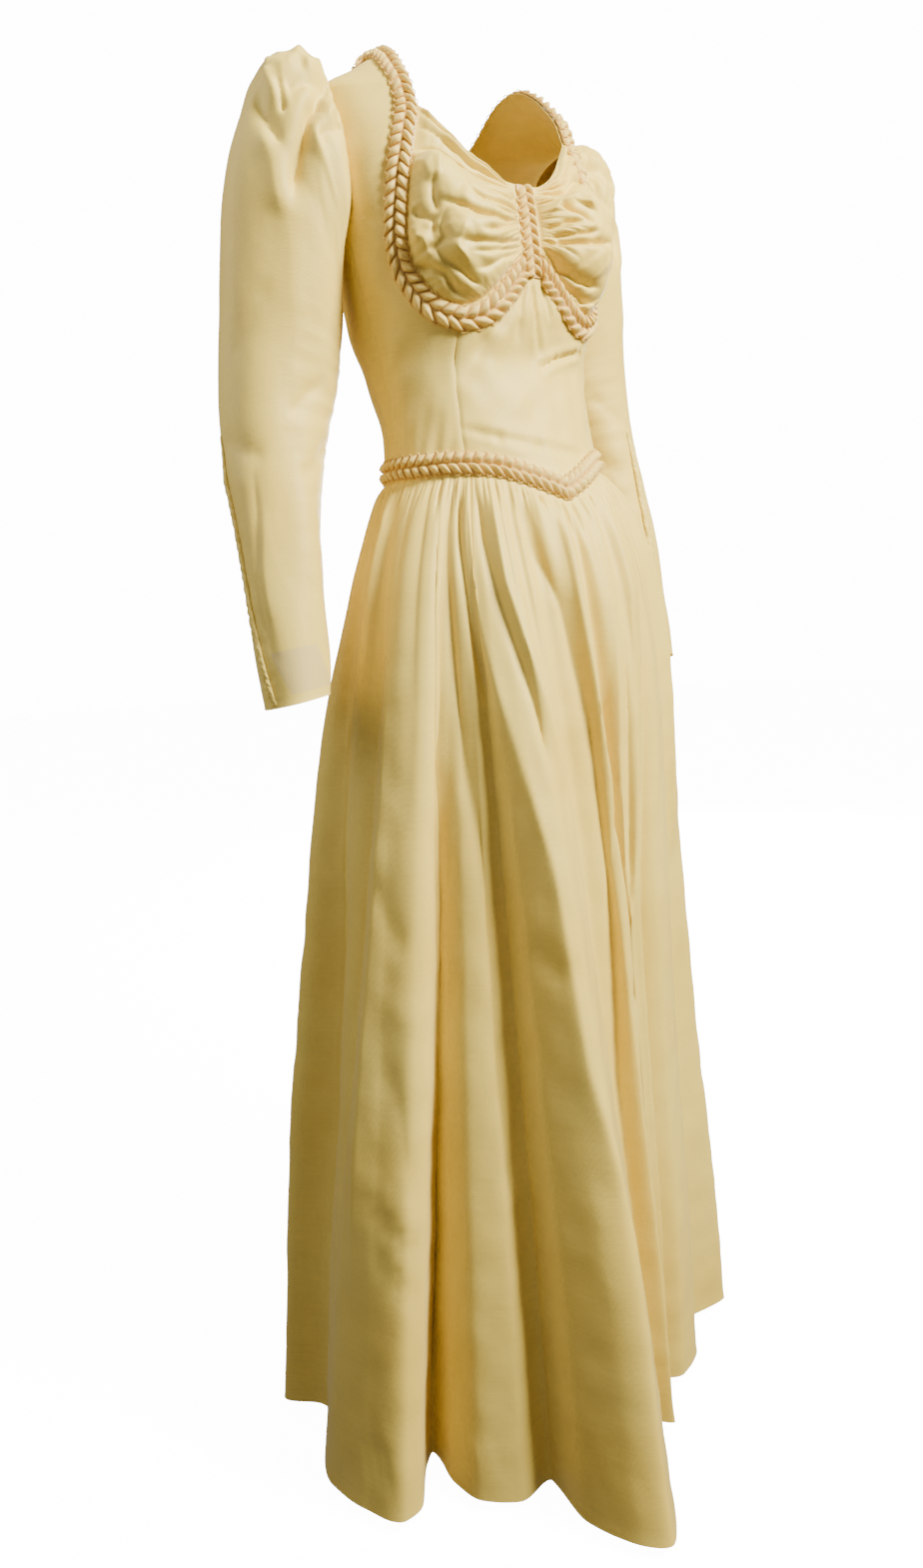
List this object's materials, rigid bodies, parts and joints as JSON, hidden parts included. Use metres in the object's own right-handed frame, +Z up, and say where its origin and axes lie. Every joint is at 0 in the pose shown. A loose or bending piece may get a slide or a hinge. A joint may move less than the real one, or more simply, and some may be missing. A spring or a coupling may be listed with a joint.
{
  "type": "bridesmaid dress",
  "caption": "Floor-length cream gown with a gathered sweetheart bodice, plaited ribbon braid, long puffed sleeves and a gathered flared skirt, shaped as worn with no wearer.",
  "frame": {"origin": "on the centre plane between the two shoulder seams, 1.405 m above the hem's edge, where the dress rests on the wearer", "axes": "+Z up, the front of the dress faces -Y, the wearer's right arm is on the -X side"},
  "size_m": [0.5932, 0.6505, 1.4331],
  "materials": {
    "gown_cloth": "crisp cream rayon faille with a soft sheen",
    "placket_cloth": "the same cream faille, doubled and puckered",
    "braid": "folded and plaited ribbon, slightly warmer cream"
  },
  "bodies": {
    "root": {"bodice_side_front_R": "gown_cloth", "bodice_side_front_L": "gown_cloth", "bodice_back_R": "gown_cloth", "bodice_back_L": "gown_cloth", "bodice_midriff_front": "gown_cloth", "bust_cup_R": "gown_cloth", "bust_cup_L": "gown_cloth", "neck_drape_R": "gown_cloth", "neck_drape_L": "gown_cloth", "sleeve_R": "gown_cloth", "sleeve_L": "gown_cloth", "sleeve_placket_R": "placket_cloth", "sleeve_placket_L": "placket_cloth", "skirt_front": "gown_cloth", "skirt_side_R": "gown_cloth", "skirt_side_L": "gown_cloth", "skirt_back_R": "gown_cloth", "skirt_back_L": "gown_cloth", "braid_neck_R": "braid", "braid_neck_L": "braid", "braid_centre": "braid", "braid_waist": "braid"}
  },
  "joints": []
}
